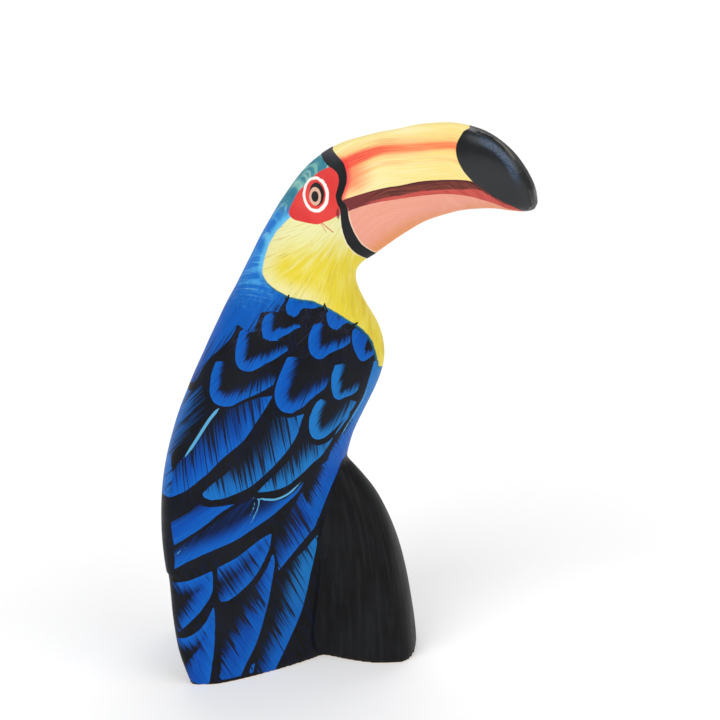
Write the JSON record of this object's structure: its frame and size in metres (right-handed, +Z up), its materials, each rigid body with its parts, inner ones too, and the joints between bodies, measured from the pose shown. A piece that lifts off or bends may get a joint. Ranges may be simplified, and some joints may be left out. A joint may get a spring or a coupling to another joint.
{
  "type": "toucan figurine",
  "caption": "Carved and painted wooden toucan with a heavy down-curved beak and folded wings, standing on its flat-cut underside.",
  "frame": {"origin": "on the flat underside, on the middle plane of the bird, a little in front of the wings' thick rear", "axes": "+Z up through the head, +X the way the beak points, +Y towards the bird's left wing; the bird is mirrored across the XZ plane"},
  "size_m": [0.2121, 0.094, 0.3],
  "materials": {
    "painted_wood": "hand-painted in blue, black, yellow and red, satin varnish"
  },
  "bodies": {
    "root": {"toucan_carving": "painted_wood"}
  },
  "joints": []
}
